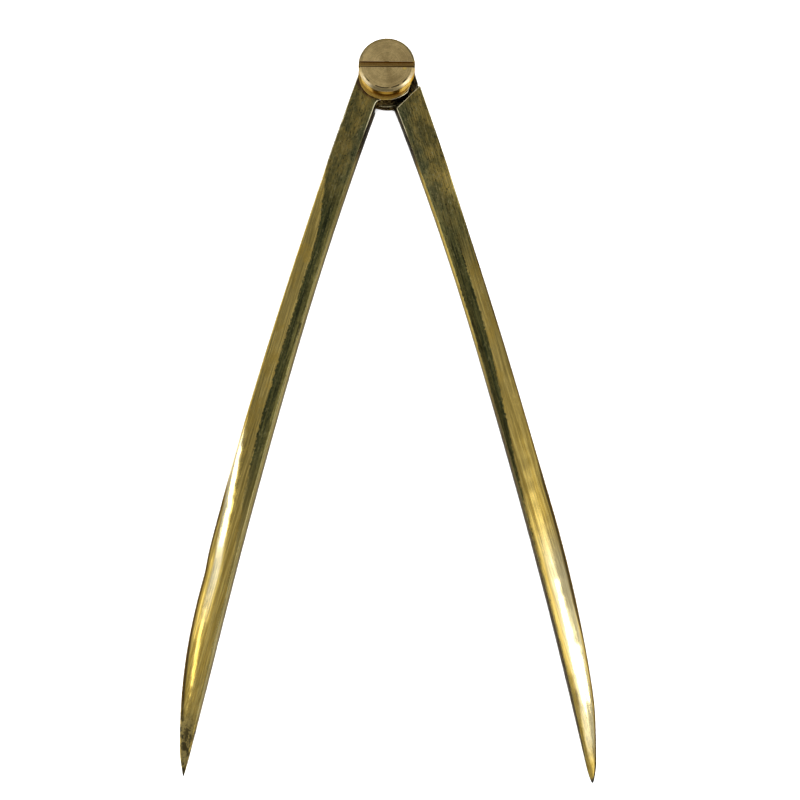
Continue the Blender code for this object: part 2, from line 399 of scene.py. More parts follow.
# ---- nodes ---------------------------------------------------------------------------------

EDGE_TINT = (0.215, 0.190, 0.145, 1.0)      # of brass seen at a grazing angle


class Nodes:
    """A material's node tree, written as arithmetic on sockets."""

    def __init__(self, name):
        self.material = bpy.data.materials.new(name)
        self.material.use_nodes = True
        self.tree = self.material.node_tree
        self.shader = self.tree.nodes["Principled BSDF"]
        self.set(self.shader.inputs["Metallic"], 1.0)
        self.set(self.shader.inputs["Specular Tint"], EDGE_TINT)

    def set(self, socket, value):
        if isinstance(value, bpy.types.NodeSocket):
            self.tree.links.new(value, socket)
        else:
            socket.default_value = value

    def add(self, kind, settings=None, inputs=None, output=0):
        node = self.tree.nodes.new("ShaderNode" + kind)
        for key, value in (settings or {}).items():
            setattr(node, key, value)
        for key, value in (inputs or {}).items():
            self.set(node.inputs[key], value)
        return node.outputs[output]

    def maths(self, operation, a, b=0.0):
        return self.add("Math", {"operation": operation}, {0: a, 1: b})

    def plus(self, a, b):
        return self.maths("ADD", a, b)

    def minus(self, a, b):
        return self.maths("SUBTRACT", a, b)

    def times(self, a, b):
        return self.maths("MULTIPLY", a, b)

    def length(self, a, b):
        return self.maths("SQRT", self.plus(self.times(a, a), self.times(b, b)))

    def step(self, value, start, end, low=0.0, high=1.0):
        """Run smoothly from low to high as a value goes from start to end."""
        settings = {"interpolation_type": "SMOOTHSTEP"}
        return self.add("MapRange", settings, {0: value, 1: start, 2: end, 3: low, 4: high})

    def band(self, value, start, rise, fall, end):
        """0 outside start to end, and 1 from rise to fall."""
        return self.times(self.step(value, start, rise), self.step(value, fall, end, 1.0, 0.0))

    def mix(self, factor, a, b):
        colours = [(*c, 1.0) if isinstance(c, tuple) else c for c in (a, b)]
        inputs = {0: factor, 6: colours[0], 7: colours[1]}
        return self.add("Mix", {"data_type": "RGBA"}, inputs, 2)

    def mix_value(self, factor, a, b):
        return self.add("Mix", None, {0: factor, 2: a, 3: b})

    def fleck(self, colour, source, start, end, amount, spot):
        """Lay a share of another colour where a source goes from start to end."""
        return self.mix(self.times(self.step(source, start, end), amount), colour, spot)

    def shade(self, colour, factor):
        """Multiply a colour by a number."""
        return self.add("VectorMath", {"operation": "SCALE"}, {0: colour, "Scale": factor})

    def split(self, vector):
        node = self.tree.nodes.new("ShaderNodeSeparateXYZ")
        self.set(node.inputs[0], vector)
        return list(node.outputs)

    def join(self, x, y, z):
        return self.add("CombineXYZ", None, {0: x, 1: y, 2: z})

    def stretched(self, vector, scale, offset=(0.0, 0.0, 0.0)):
        settings = {"operation": "MULTIPLY_ADD"}
        return self.add("VectorMath", settings, {0: vector, 1: scale, 2: offset})

    def noise(self, vector, detail, roughness, distortion=0.0):
        inputs = {"Vector": vector, "Scale": 1.0, "Detail": detail, "Roughness": roughness,
                  "Distortion": distortion}
        return self.add("TexNoise", None, inputs)

    def attribute(self, name):
        return self.add("Attribute", {"attribute_name": name}, None, 1)

    def bump(self, height, strength, distance, normal=None):
        inputs = {"Height": height, "Strength": strength, "Distance": distance}
        if normal is not None:
            inputs["Normal"] = normal
        return self.add("Bump", None, inputs)

    def end(self, colour, roughness, normal, dull):
        """Finish the material. Dull is how far the surface is from bare metal."""
        self.set(self.shader.inputs["Base Color"], colour)
        self.set(self.shader.inputs["Roughness"], roughness)
        self.set(self.shader.inputs["Metallic"], self.minus(1.0, dull))
        self.set(self.shader.inputs["Normal"], normal)
        return self.material


# ---- brass of the legs ---------------------------------------------------------------------
# A pair is a deep and a pale tone of one finish.
GREEN = ((0.055, 0.062, 0.024), (0.140, 0.130, 0.042))
OLIVE = ((0.17, 0.15, 0.045), (0.30, 0.26, 0.080))
UMBER = ((0.22, 0.175, 0.050), (0.40, 0.295, 0.078))
SAGE = ((0.140, 0.140, 0.060), (0.245, 0.225, 0.085))
GREEN_CRUMBS = (0.085, 0.100, 0.050)
DARK_PATCH = (0.088, 0.096, 0.044)
WARM_PATCH = (0.38, 0.29, 0.10)
JOINT_PALE_SPECKS = (0.46, 0.38, 0.19)
JOINT_DARK_SPECKS = (0.05, 0.055, 0.028)
# painted shadow round the washer
WASHER_SHADOW = (0.10, 0.055, 0.03)
PALE_SPECKS = (0.40, 0.36, 0.16)
DARK_SPECKS = (0.025, 0.03, 0.012)
CLEARED = ((0.31, 0.24, 0.065), (0.50, 0.39, 0.13))
BEVEL = ((0.31, 0.23, 0.060), (0.58, 0.44, 0.135))
BEVEL_PATCH = (0.47, 0.33, 0.075)
GOLD = ((0.62, 0.42, 0.075), (0.90, 0.66, 0.18))
GOLD_PATCH = (0.60, 0.50, 0.18)
# the colour of the painted highlight on the round part
PAINTED_HIGHLIGHT = (0.90, 0.80, 0.50)
GILT = (0.62, 0.48, 0.15)
EDGE_SHADOW = (0.05, 0.045, 0.025)
# painted shade in the crotch between the legs
CROTCH_SHADE = (0.045, 0.035, 0.02)
# painted dark reflection along the outer rim
DARK_RIM_REFLECTION = (0.06, 0.036, 0.015)
# worn edges with a painted highlight
WORN_LIT_EDGE = (0.74, 0.67, 0.44)
DULL_EDGE = (0.16, 0.14, 0.06)
NICK = (0.035, 0.032, 0.018)
# painted shade in the joint's recesses
RECESS_SHADE = ((0.020, 0.015, 0.009), (0.110, 0.088, 0.045))
# painted highlights on the rear lap's ledge and brink
LEDGE_HIGHLIGHT = (0.30, 0.28, 0.11)
BRINK_HIGHLIGHT = (0.50, 0.44, 0.26)
PITS = ((0.040, 0.036, 0.018), (0.46, 0.36, 0.13))
SHARP_TIP = (0.09, 0.085, 0.075)

LEG_OFFSET = 40.0               # sets the two legs' noises apart
HIGHLIGHT_DRIFT_FROM = 118.0
HIGHLIGHT_DRIFT_MOST = 0.26


def leg_sockets(n, leg):
    """What a leg's material reads: its place, its noises, and where its marks lie."""
    at = SimpleNamespace()
    place = n.attribute("leg_place")
    at.u, at.w, at.z = n.split(place)
    at.from_inner, at.past_crease, at.from_outer = n.split(n.attribute("leg_edge"))
    at.facing = n.split(n.add("NewGeometry", None, None, 1))[2]
    offset = LEG_OFFSET * leg["side"]

    def grain(scale, shift, detail, roughness, distortion=0.0):
        moved = n.stretched(place, scale, (offset, *shift))
        return n.noise(moved, detail, roughness, distortion)

    # brushed along the leg: faint streaks, finer ones, and hard lines
    at.streaks = grain((0.035, 1.7, 1.7), (0, 0), 4, 0.62)
    at.fine = grain((0.16, 7.0, 7.0), (3, 0), 2, 0.6)
    at.lines = grain((0.14, 3.0, 3.0), (6, 1), 5, 0.75, 0.3)
    # tarnish, from the broadest patches to the smallest specks
    at.mottle = grain((0.16, 0.28, 0.28), (0, 5), 5, 0.68, 0.4)
    at.patch = grain((0.22, 0.42, 0.42), (7, 2), 5, 0.66, 0.5)
    at.blotch = grain((0.45, 0.6, 0.6), (9, 5), 5, 0.7, 0.6)
    at.specks = grain((1.1, 2.6, 2.6), (2, 8), 3, 0.65)
    at.crumbs = grain((1.6, 2.2, 2.2), (4, 3), 4, 0.75, 0.3)

    reach = n.plus(at.u, n.times(at.mottle, 10.0))
    at.joint = n.step(reach, *leg["joint_until"], 1.0, 0.0)
    at.outward = n.maths("DIVIDE", at.from_inner, n.plus(at.from_inner, at.from_outer))
    at.gilt = n.band(at.u, *leg["inner_gold"])
    at.slanted = n.band(at.facing, 0.3, 0.55, 0.90, 0.98)
    at.lap = n.step(at.u, 17.0, 22.0, 1.0, 0.0)
    at.inner_brink = n.step(at.from_inner, 0.3, 0.45, 1.0, 0.0)
    at.rounded = rounded_part(n, leg, at)
    return at


def rounded_part(n, leg, at):
    """1 past the jagged crease, and 0 on the flat and near the joint."""
    jag = n.plus(n.minus(at.blotch, 0.5), n.times(n.minus(at.crumbs, 0.5), 2.2))
    past = n.step(n.plus(at.past_crease, jag), -0.04, 0.06)
    reach = n.plus(at.u, n.times(at.streaks, 20.0))
    return n.times(past, n.step(reach, *leg["bevel_from"]))


def joint_tarnish(n, leg, at):
    """Brown and green patches near the joint, and a painted shadow round the washer."""
    umber = n.mix(n.step(at.mottle, 0.42, 0.58), *UMBER)
    sage = n.mix(n.step(at.mottle, 0.42, 0.58), *SAGE)
    outward = n.plus(at.outward, n.times(at.mottle, 0.9))
    colour = n.mix(n.step(outward, *leg["umber_from"]), sage, umber)
    colour = n.fleck(colour, at.crumbs, 0.50, 0.66, 0.40, GREEN_CRUMBS)
    colour = n.fleck(colour, at.patch, 0.46, 0.64, leg["patchy"], DARK_PATCH)
    colour = n.fleck(colour, at.patch, 0.48, 0.34, 0.4, WARM_PATCH)
    colour = n.fleck(colour, at.specks, 0.58, 0.68, 0.65, JOINT_PALE_SPECKS)
    colour = n.fleck(colour, at.specks, 0.42, 0.32, 0.7, JOINT_DARK_SPECKS)
    colour = n.shade(colour, n.step(at.u, *leg["paler_from"], 1.0, leg["paler_by"]))
    # painted shadow: a dark ring on the leg's faces round the washer
    radius = n.plus(n.length(at.u, at.w), n.times(at.blotch, 3.0))
    washer_shadow = n.times(n.step(radius, 10.2, 11.2, 1.0, 0.0), 0.85)
    return n.mix(washer_shadow, colour, WASHER_SHADOW)


def flat_face(n, leg, at):
    """Tarnished near the joint, then near black green, with olive towards the inner edge as a
    painted reflection.
    """
    flat_width = n.maths("MAXIMUM", n.minus(at.from_inner, at.past_crease), 0.2)
    across = n.maths("DIVIDE", at.from_inner, flat_width)
    green = n.mix(n.step(at.streaks, 0.38, 0.62), *GREEN)
    olive = n.mix(n.step(at.streaks, 0.35, 0.65), *OLIVE)
    # painted reflection: olive towards the inner edge, near black green towards the crease
    colour = n.mix(n.step(n.plus(across, n.times(at.mottle, 0.7)), 0.48, 0.86), olive, green)
    colour = n.mix(n.step(at.crumbs, 0.50, 0.62), colour, n.shade(colour, leg["flat_relief"]))
    colour = n.mix(at.joint, colour, joint_tarnish(n, leg, at))
    scratches = n.mix_value(at.joint, n.step(at.lines, 0.34, 0.66, 0.50, 1.60),
                            n.step(at.lines, 0.34, 0.66, *leg["scratched"]))
    colour = n.shade(colour, scratches)
    colour = n.fleck(colour, at.specks, 0.58, 0.66, 0.55, PALE_SPECKS)
    colour = n.fleck(colour, at.specks, 0.42, 0.33, 0.7, DARK_SPECKS)
    cleared = n.mix(n.step(at.streaks, 0.36, 0.64), *CLEARED)
    return n.mix(n.step(at.u, *leg["dark_until"]), colour, cleared)


def rounded_face(n, leg, at):
    """The bevel and the round lower part, palest in a band of painted highlight."""
    bevel = n.mix(n.step(at.streaks, 0.36, 0.64), *BEVEL)
    bevel = n.mix(n.step(at.mottle, 0.48, 0.62), bevel, BEVEL_PATCH)
    bevel = n.shade(bevel, n.step(at.past_crease, 0.0, 2.4, 1.45, 1.0))
    gold = n.mix(n.step(at.streaks, 0.36, 0.64), *GOLD)
    gold = n.fleck(gold, at.mottle, 0.50, 0.62, 0.35, GOLD_PATCH)
    lower = n.step(at.u, leg["round_held_to"], leg["round_full_at"] + 6.0)
    # painted highlight: a pale band along the round where the soft boxes reflect, drifting inwards
    # down the leg
    drift = n.times(n.minus(at.u, HIGHLIGHT_DRIFT_FROM), leg["highlight_drift"])
    across = n.plus(at.outward, n.maths("MINIMUM", drift, HIGHLIGHT_DRIFT_MOST))
    highlight = n.times(n.band(at.u, *leg["highlight_along"]), n.band(across, *leg["highlight_across"]))
    colour = n.mix(n.times(highlight, leg["highlight"]), n.mix(lower, bevel, gold), PAINTED_HIGHLIGHT)
    return n.shade(colour, n.step(at.lines, 0.32, 0.68, 0.80, 1.16))


def inner_face(n, leg, at):
    """The upright inner side, under a dark line where it isn't gold, with painted shade in the
    crotch and towards the back face.
    """
    colour = n.mix(n.step(at.u, 130.0, 160.0), leg["inner_high"], leg["inner_low"])
    colour = n.mix(at.gilt, colour, GILT)
    near_edge = n.step(at.z, THICKNESS - 0.9, THICKNESS - 0.45)
    shadow = n.times(near_edge, n.minus(1.0, at.gilt))
    colour = n.mix(n.times(shadow, 0.75), colour, EDGE_SHADOW)
    # painted shade deep in the crotch between the legs
    colour = n.mix(n.step(at.u, 20.0, 30.0, 1.0, 0.0), colour, CROTCH_SHADE)
    # painted shade: darker towards the back face, which lies on the floor
    streaks = n.step(at.streaks, 0.3, 0.7, 0.7, 1.3)
    colour = n.shade(colour, n.times(streaks, n.step(at.z, 0.0, 3.6, 0.35, 1.0)))
    return n.shade(colour, n.step(at.u, 40.0, 62.0, 0.72, 1.0))


def rim_dark_reflection(n, leg, at):
    """Painted dark reflection along the outer rim: heavy from rim_from on, and broad along
    rim_broad.
    """
    heavy = n.step(at.u, *leg["rim_from"])
    broad = n.times(n.band(at.u, *leg["rim_broad"]), 0.7)
    width = n.plus(n.mix_value(heavy, 0.28, leg["rim_width"]), broad)
    rim = n.step(n.maths("DIVIDE", at.from_outer, width), 0.45, 1.0, 1.0, 0.0)
    return n.times(rim, n.plus(0.45, n.times(heavy, 0.5)))


def edge_wear(n, leg, at):
    """Worn edges with a painted highlight along them: the lap's, the inner one below it, and a
    stretch of the outer one.
    """
    inner = n.times(at.inner_brink, n.mix_value(at.lap, leg["edge_shine"], 1.0))
    inner = n.times(n.maths("MAXIMUM", inner, at.lap), at.slanted)
    top = n.step(at.z, THICKNESS - 0.55, THICKNESS - 0.35)
    inner = n.times(inner, n.times(top, n.step(at.streaks, 0.35, 0.55, 0.4, 1.0)))
    outer = n.step(at.from_outer, 0.30, 0.42, 1.0, 0.0)
    outer = n.times(outer, n.band(at.u, *leg["edge_worn"]))
    outer = n.times(outer, n.step(at.crumbs, 0.40, 0.52))
    return n.maths("MAXIMUM", inner, n.times(outer, n.step(at.facing, 0.2, 0.5)))


def edge_dullness(n, leg, at):
    """The rest of the inner edge, between the worn and the gold stretches."""
    bright = n.maths("MAXIMUM", at.lap, n.times(at.gilt, 0.4))
    dull = n.times(n.times(at.slanted, at.inner_brink), n.minus(1.0, bright))
    return n.times(dull, n.minus(0.85, leg["edge_shine"]))


def edge_nicks(n, at):
    """Small dark nicks along both edges of the front face, half way down the leg."""
    brink = n.step(n.maths("MINIMUM", at.from_inner, at.from_outer), 0.60, 0.45)
    nicks = n.times(brink, n.step(at.blotch, 0.54, 0.59))
    nicks = n.times(nicks, n.band(at.u, 56.0, 62.0, 92.0, 100.0))
    return n.times(nicks, n.step(at.z, THICKNESS - 0.65, THICKNESS - 0.40))


def recess_shade(n, at, colour):
    """Painted shade on the joint's sunk faces, with painted highlights on a ledge and on the worn
    brink of the rear lap.
    """
    sunk = n.times(n.step(at.z, THICKNESS - 0.3, THICKNESS - 0.6),
                   n.step(at.u, 14.0, 17.0, 1.0, 0.0))
    sunk = n.times(sunk, n.times(n.step(at.z, 0.15, 0.4), n.step(at.u, -1.0, 4.0, 0.45, 1.0)))
    shade_colour = n.mix(n.step(at.blotch, 0.4, 0.6), *RECESS_SHADE)
    # painted shade over the sunk faces
    colour = n.mix(n.times(sunk, 0.96), colour, shade_colour)
    # painted highlight on the rear lap's ledge
    ledge = n.times(n.step(at.facing, 0.9, 0.97), n.band(at.u, 6.0, 7.0, 9.4, 9.8))
    ledge = n.times(ledge, n.times(sunk, n.step(at.crumbs, 0.38, 0.52)))
    colour = n.mix(n.times(ledge, 0.85), colour, LEDGE_HIGHLIGHT)
    # painted highlight along the rear lap's worn brink
    brink = n.times(at.slanted, n.band(at.z, REAR_LAP_TOP - 0.4, REAR_LAP_TOP - 0.3,
                                       REAR_LAP_TOP, REAR_LAP_TOP + 0.1))
    return n.mix(n.times(brink, n.step(at.crumbs, 0.40, 0.52, 0.2, 0.85)), colour, BRINK_HIGHLIGHT)


def leg_brass(side, leg):
    n = Nodes("brass_" + side)
    at = leg_sockets(n, leg)
    colour = n.mix(at.rounded, flat_face(n, leg, at), rounded_face(n, leg, at))
    hem = n.times(n.step(at.from_inner, 0.3, 2.4, 1.0, 0.0), n.band(at.u, 50.0, 75.0, 108.0, 130.0))
    colour = n.shade(colour, n.minus(1.0, n.times(hem, leg["hem"])))

    upright = n.step(n.maths("ABSOLUTE", at.facing), 0.35, 0.75, 1.0, 0.0)
    inner_side = n.times(n.step(at.from_inner, 0.02, 0.16, 1.0, 0.0), upright)
    colour = n.mix(inner_side, colour, inner_face(n, leg, at))
    # painted dark reflection along the outer rim
    colour = n.mix(rim_dark_reflection(n, leg, at), colour, DARK_RIM_REFLECTION)
    # edge wear with a painted highlight along the edges
    worn = edge_wear(n, leg, at)
    colour = n.mix(n.times(worn, 0.75), colour, WORN_LIT_EDGE)
    colour = n.mix(edge_dullness(n, leg, at), colour, DULL_EDGE)
    colour = n.mix(n.times(edge_nicks(n, at), 0.8), colour, NICK)
    # painted shade in the joint's recesses, with painted highlights on the rear lap
    colour = recess_shade(n, at, colour)

    # the left leg's pitted point, and both tips
    reach = n.plus(at.u, n.times(at.blotch, 9.0))
    stain = n.times(n.step(reach, *leg["tip_stain"]), 0.9)
    pitting = n.plus(n.times(at.blotch, 0.65), n.times(at.crumbs, 0.35))
    colour = n.mix(stain, colour, n.mix(n.step(pitting, 0.47, 0.53), *PITS))
    tip = n.step(at.u, leg["length"] - 1.8, leg["length"] - 0.4)
    colour = n.mix(tip, colour, SHARP_TIP)
    colour = n.shade(colour, n.step(at.fine, 0.2, 0.8, 0.78, 1.2))

    polish = n.times(n.step(at.u, *leg["polished"]), at.rounded)
    rough = n.mix_value(at.rounded, 0.34, n.mix_value(polish, 0.25, 0.13))
    rough = n.plus(rough, n.times(n.minus(at.streaks, 0.5), n.mix_value(polish, 0.16, 0.05)))
    rough = n.plus(rough, n.times(n.step(at.blotch, 0.5, 0.7), n.times(at.joint, 0.12)))
    normal = n.bump(at.fine, n.mix_value(polish, 0.35, 0.03), 0.00003)
    normal = n.bump(at.streaks, n.mix_value(polish, 0.3, 0.06), 0.0001, normal)
    pitted = n.plus(n.times(at.joint, 0.35), n.times(stain, 0.5))
    normal = n.bump(at.crumbs, pitted, 0.0001, normal)
    # the lap's worn edge, with its painted highlight, is also less metallic
    return n.end(colour, rough, normal, n.times(n.times(worn, at.lap), 0.4))


# ---- brass of the screw and washer ---------------------------------------------------------
SCREW_FINISH = {
    "name": "brass_screw", "dark": (0.48, 0.345, 0.140), "light": (0.88, 0.66, 0.29),
    "wall": (0.60, 0.38, 0.09), "roughness": 0.34, "polish": 0.30,
}
WASHER_FINISH = {
    "name": "brass_washer", "dark": (0.42, 0.24, 0.045), "light": (0.66, 0.42, 0.09),
    "wall": (0.40, 0.29, 0.10), "roughness": 0.30, "polish": 0.30,
}
BACK_WALL = (0.42, 0.31, 0.12)
TURNED_LINE = (0.05, 0.04, 0.018)
# painted shade on the chamfer's far side
FAR_RIM_SHADE = (0.10, 0.085, 0.05)
NEAR_RIM_MIDDLE = (0.30, 0.235, 0.115)
# painted highlight on the near chamfer's flanks
NEAR_RIM_HIGHLIGHT = (0.84, 0.68, 0.40)
# painted reflection on the near wall's sides
WALL_SHINE = (1.0, 0.68, 0.15)
# painted shade along the wall's top
UNDER_RIM_SHADE = (0.16, 0.085, 0.018)
# the slot's floor, darkest along its near side as a painted shadow
SLOT_FLOOR = ((0.16, 0.095, 0.028), (0.60, 0.42, 0.14))
SLOT_WALL = (0.36, 0.20, 0.05)
# painted glint on a small burr
BURR_GLINT = (1.0, 0.72, 0.20)
BURR_GLINT_AT = (4.9, -1.05, 0.0)
LINE_RADII = (6.60, 6.70, 6.96, 7.08)
ANISOTROPY = 0.4


def turned_brass(finish):
    """Brass straight from the lathe: rings about the axis on the faces, and an amber wall."""
    n = Nodes(finish["name"])
    place = n.stretched(n.add("TexCoord", None, None, 3), (1 / MM, 1 / MM, 1 / MM))
    x, y, z = n.split(place)
    radius = n.length(x, y)
    around = n.add("VectorMath", {"operation": "NORMALIZE"}, {0: n.join(x, y, 0.0)})
    sideways = n.split(around)[0]
    side_on = n.maths("ABSOLUTE", sideways)
    _, facing_y, facing_z = n.split(n.add("TexCoord", None, None, 1))
    rings = n.noise(n.join(n.times(radius, 3.2), 0.0, 0.0), 3, 0.7)
    broad = n.noise(n.join(n.times(radius, 0.5), 4.0, 0.0), 2, 0.5)
    fans = n.noise(n.stretched(around, (1.5, 1.5, 1.5), (2.0, 5.0, 0.0)), 2, 0.5)
    arcs = n.noise(n.stretched(around, (3.0, 3.0, 3.0), (1.0, 7.0, 2.0)), 2, 0.5)
    patches = n.noise(n.stretched(place, (0.22, 0.22, 0.22)), 4, 0.6)
    grains = n.noise(n.stretched(place, (2.2, 2.2, 2.2)), 3, 0.6)
    wall = n.step(n.maths("ABSOLUTE", facing_z), 0.25, 0.55, 1.0, 0.0)
    slanted = n.band(facing_z, 0.3, 0.5, 0.88, 0.95)

    # faces and wall
    tone = n.plus(n.times(rings, 0.35), n.plus(n.times(broad, 0.15), n.times(patches, 0.25)))
    tone = n.plus(tone, n.times(fans, 0.25))
    # painted highlight: the face a little lighter towards its left side
    tone = n.plus(tone, n.step(x, -2.0, -7.0, 0.0, 0.09))
    colour = n.mix(n.step(tone, 0.38, 0.62), finish["dark"], finish["light"])
    # painted shade: the near wall darker in its middle than at its sides
    front_wall = n.shade(finish["wall"], n.step(side_on, 0.25, 0.6, 0.45, 1.0))
    colour = n.mix(wall, colour, n.mix(n.step(y, -2.0, 2.0), front_wall, BACK_WALL))

    # a broken dark line where the chamfer starts, painted shade on the chamfer's far side, and
    # painted highlights on the near side's flanks, dimmer on the right
    line = n.times(n.band(radius, *LINE_RADII), n.step(arcs, 0.40, 0.48))
    line = n.times(line, n.step(facing_z, 0.2, 0.4))
    line = n.times(line, n.step(y, -3.0, -5.0, 0.25, 0.95))
    colour = n.mix(line, colour, TURNED_LINE)
    far = n.times(slanted, n.step(facing_y, -0.25, 0.25))
    colour = n.mix(n.times(far, 0.9), colour, FAR_RIM_SHADE)
    near = n.times(slanted, n.step(facing_y, -0.1, -0.3))
    rim_highlights = n.shade(NEAR_RIM_HIGHLIGHT, n.step(x, 2.0, 6.0, 1.0, 0.76))
    rim = n.mix(n.step(side_on, 0.45, 0.72), NEAR_RIM_MIDDLE, rim_highlights)
    colour = n.mix(near, colour, rim)

    # painted reflections on both sides of the near wall, and painted shade along the wall's top
    # under the rim
    shine = n.plus(n.band(sideways, 0.40, 0.54, 0.78, 0.90),
                   n.times(n.band(sideways, -0.98, -0.90, -0.60, -0.42), 0.8))
    shine = n.times(n.times(shine, wall), n.step(y, -3.0, -4.0))
    colour = n.mix(shine, colour, WALL_SHINE)
    under_rim_shade = n.times(wall, n.step(z, HEAD_TOP - 1.5, HEAD_TOP - 0.7))
    under_rim_shade = n.times(under_rim_shade, n.step(side_on, 0.62, 0.42, 0.45, 0.9))
    colour = n.mix(under_rim_shade, colour, UNDER_RIM_SHADE)

    # the slot, darker than the face with a painted shadow along its floor's near side, and a small
    # burr with a painted glint beside it
    in_slot = n.times(n.step(z, HEAD_TOP - 0.12, HEAD_TOP - 0.3),
                      n.step(radius, HEAD_RADIUS - 0.15, HEAD_RADIUS - 0.05, 1.0, 0.0))
    in_slot = n.times(in_slot, n.step(n.maths("ABSOLUTE", y), 0.86, 0.95, 1.0, 0.0))
    floor = n.mix(n.step(y, 0.0, 0.18), *SLOT_FLOOR)
    colour = n.mix(in_slot, colour, n.mix(n.step(facing_z, 0.4, 0.8), SLOT_WALL, floor))
    inputs = {0: n.join(x, y, 0.0), 1: BURR_GLINT_AT}
    from_burr = n.add("VectorMath", {"operation": "DISTANCE"}, inputs, 1)
    burr_glint = n.step(n.plus(from_burr, n.times(grains, 0.8)), 1.00, 0.82)
    colour = n.mix(n.times(burr_glint, n.step(facing_z, 0.5, 0.8)), colour, BURR_GLINT)
    colour = n.shade(colour, n.step(grains, 0.2, 0.8, 0.84, 1.14))

    n.shader.inputs["Anisotropic"].default_value = ANISOTROPY
    tangent = n.add("Tangent", {"direction_type": "RADIAL", "axis": "Z"})
    n.set(n.shader.inputs["Tangent"], tangent)
    rough = n.step(rings, 0.3, 0.7, finish["roughness"] - 0.06, finish["roughness"] + 0.08)
    rough = n.mix_value(wall, rough, n.mix_value(shine, finish["polish"], 0.6))
    normal = n.bump(rings, 0.5, 0.00003)
    normal = n.bump(grains, 0.12, 0.00004, normal)
    return n.end(colour, rough, normal, n.times(shine, 0.4))


# ---- legs ----------------------------------------------------------------------------------
CUT_REACH = 30.0                # far enough to pass through a whole leg
SHOULDER_WEAR = 0.28
LAP_EDGE_WEAR = 0.3
HOLE_TOP = 7.0
HOLE_WEAR = 0.3


def recess(leg, low, high):
    """Everything on the pivot's side of the slanted shoulder, between two heights."""
    outline = [(-SHOULDER_DISTANCE, low), (CUT_REACH, low), (CUT_REACH, high),
               (-SHOULDER_DISTANCE, high)]
    return turn_z(prism(outline, CUT_REACH), leg["side"] * SHOULDER_SLANT)


def shoulder_wear(leg, height, up):
    """A small chamfer along the shoulder's edge on the front or back face."""
    margin = 0.5
    outline = [(-SHOULDER_DISTANCE + margin, height - up * (SHOULDER_WEAR + margin)),
               (-SHOULDER_DISTANCE - SHOULDER_WEAR - margin, height + up * margin),
               (-SHOULDER_DISTANCE + margin, height + up * margin)]
    return turn_z(prism(outline, CUT_REACH), leg["side"] * SHOULDER_SLANT)


def lap_edge_wear(leg):
    """A small chamfer round the rear lap's end."""
    rim = leg["lap_radius"]
    return turned([(rim - LAP_EDGE_WEAR, REAR_LAP_TOP + 0.1),
                   (rim + 0.1, REAR_LAP_TOP - LAP_EDGE_WEAR),
                   (rim + 0.1, REAR_LAP_TOP + 0.1)], closed=True)


def pivot_hole(radius):
    """The hole for the screw, widened a little at the back face."""
    return turned([(0, HOLE_TOP), (radius, HOLE_TOP), (radius, 0.25), (radius + HOLE_WEAR, -0.05),
                   (radius + HOLE_WEAR, -1.0), (0, -1.0)], 96)


def make_leg(side):
    leg = LEGS[side]
    obj = new_object("brass_leg_" + side, leg_blank(leg))
    margin = 1.0
    if side == "left":
        subtract(obj, recess(leg, -margin, REAR_LAP_TOP + LAP_GAP))
        subtract(obj, shoulder_wear(leg, 0.0, -1))
        subtract(obj, pivot_hole(SHANK_RADIUS + HOLE_CLEARANCE))
    else:
        subtract(obj, recess(leg, REAR_LAP_TOP, THICKNESS + margin))
        subtract(obj, shoulder_wear(leg, THICKNESS, 1))
        subtract(obj, lap_edge_wear(leg))
        subtract(obj, pivot_hole(THREAD_RADIUS + HOLE_CLEARANCE))
    mesh = obj.data
    places = []
    distances = []
    for vertex in mesh.vertices:
        w = leg["side"] * vertex.co.x / MM
        u = -vertex.co.y / MM
        inner, outer = edges_at(leg, u)
        wide = rounding(leg, u, outer - inner)
        places.append((u, w, vertex.co.z / MM))
        distances.append((w - inner, w - (outer - wide), outer - w))
    store(mesh, "leg_place", places)
    store(mesh, "leg_edge", distances)
    mesh.transform(Matrix.Rotation(math.radians(leg["side"] * OPENING / 2), 4, "Z"))
    shade(mesh)
    mesh.materials.clear()
    mesh.materials.append(leg_brass(side, leg))
    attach(obj, side + "_leg")
    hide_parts("leg_" + side)


# ---- washer and screw ----------------------------------------------------------------------
WASHER_BOTTOM = THICKNESS + 0.02
WASHER_TOP = 6.34
WASHER_WEAR = 0.1
HEAD_BOTTOM = 6.36
HEAD_FACE_RADIUS = HEAD_RADIUS - 0.82
FACE_RINGS = 60
GROOVE_DEPTH = 0.004
GROOVE_RATE = 11.0              # of the turned grooves, in radians per millimetre of radius
SCREW_END = 0.02
SLOT_CORNER = 0.15
SLOT_WEAR = 0.07


def make_washer():
    hole = WASHER_HOLE_RADIUS
    wear = WASHER_WEAR
    profile = [(hole + wear, WASHER_TOP), (WASHER_RADIUS - wear, WASHER_TOP),
               (WASHER_RADIUS - 0.3 * wear, WASHER_TOP - 0.3 * wear),
               (WASHER_RADIUS, WASHER_TOP - wear), (WASHER_RADIUS, WASHER_BOTTOM + wear),
               (WASHER_RADIUS - wear, WASHER_BOTTOM), (hole + wear, WASHER_BOTTOM),
               (hole, WASHER_BOTTOM + wear), (hole, WASHER_TOP - wear)]
    bm = turned(profile, closed=True)
    bmesh.ops.translate(bm, verts=bm.verts, vec=(WASHER_SLIP[0] * MM, WASHER_SLIP[1] * MM, 0))
    washer = new_object("brass_washer", bm)
    shade(washer.data)
    washer.data.materials.append(turned_brass(WASHER_FINISH))
    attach(washer, "right_leg")
    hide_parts("head_washer")


